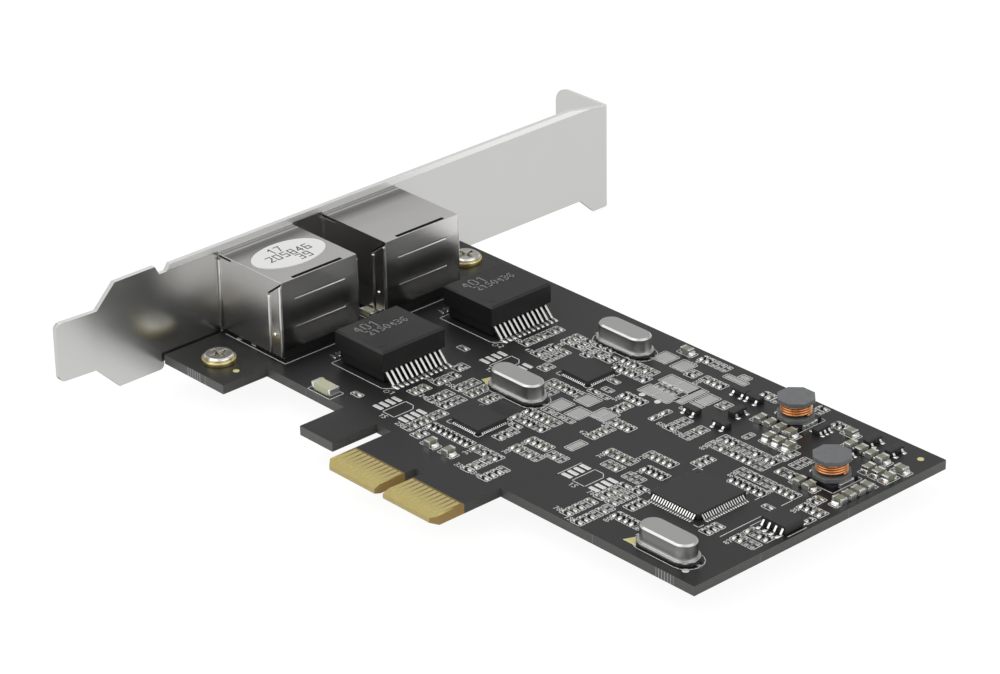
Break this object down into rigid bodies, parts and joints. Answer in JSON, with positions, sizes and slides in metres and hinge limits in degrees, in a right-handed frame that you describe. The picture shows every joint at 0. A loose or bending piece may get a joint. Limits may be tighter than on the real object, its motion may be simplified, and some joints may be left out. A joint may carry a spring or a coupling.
{
  "type": "network interface card",
  "caption": "Expansion-slot network card: black printed board with gold edge contacts, full-height steel bracket, shielded modular jacks, moulded transformers and small chips.",
  "frame": {"origin": "centre of the key notch on the tip of the contact tongue, level with the board's component side", "axes": "+X along the board away from the bracket, +Y from the contact tongue towards the bracket's flange, +Z out of the component side"},
  "size_m": [0.1238, 0.12, 0.0213],
  "materials": {
    "board": "satin black solder mask over glass-fibre board",
    "gold": "gold plating, satin",
    "bracket_steel": "nickel-plated steel sheet, satin",
    "screw_steel": "nickel-plated, bright",
    "tin": "tinned, slightly uneven",
    "shell_metal": "nickel-plated sheet, satin",
    "black_moulding": "fine moulded plastic",
    "light_pipe": "clear pale plastic",
    "paper": "satin coated paper",
    "chip_moulding": "epoxy moulding, fine grain",
    "can_metal": "drawn nickel silver, satin",
    "ferrite": "sintered ferrite",
    "copper": "enamelled copper wire",
    "ceramic_body": "fired ceramic",
    "resistor_body": "black glazed ceramic",
    "pale_ceramic": "fired ceramic"
  },
  "bodies": {
    "root": {"circuit_board": "board", "edge_contacts_component_side": "gold", "edge_contacts_solder_side": "gold", "bracket": "bracket_steel", "bracket_screws": "screw_steel", "screw_lands": "gold", "oval_sticker": "paper", "transformer_1_body": "black_moulding", "transformer_2_body": "black_moulding", "transformer_1_leads": "tin", "transformer_2_leads": "tin", "crystal_cans": "can_metal", "crystal_bases": "black_moulding", "crystal_leads": "tin", "bridge_chip_body": "chip_moulding", "bridge_chip_leads": "tin", "memory_chip_body": "chip_moulding", "memory_chip_leads": "tin", "controller_chip_1": "chip_moulding", "controller_chip_2": "chip_moulding", "transistor_bodies": "chip_moulding", "transistor_leads": "tin", "regulator_bodies": "chip_moulding", "regulator_leads": "tin", "inductor_cores": "ferrite", "inductor_windings": "copper", "inductor_bases": "black_moulding", "inductor_terminals": "tin", "ceramic_capacitor_blocks": "ceramic_body", "ceramic_capacitor_ends": "tin", "chip_resistor_blocks": "resistor_body", "chip_resistor_ends": "tin", "pale_capacitor_block": "pale_ceramic", "pale_capacitor_ends": "tin", "jack_capacitor_block": "ceramic_body", "jack_capacitor_ends": "tin", "jack_1_shell": "shell_metal", "jack_1_housing": "black_moulding", "jack_1_contacts": "gold", "jack_1_lights": "light_pipe", "jack_2_shell": "shell_metal", "jack_2_housing": "black_moulding", "jack_2_contacts": "gold", "jack_2_lights": "light_pipe"}
  },
  "joints": []
}
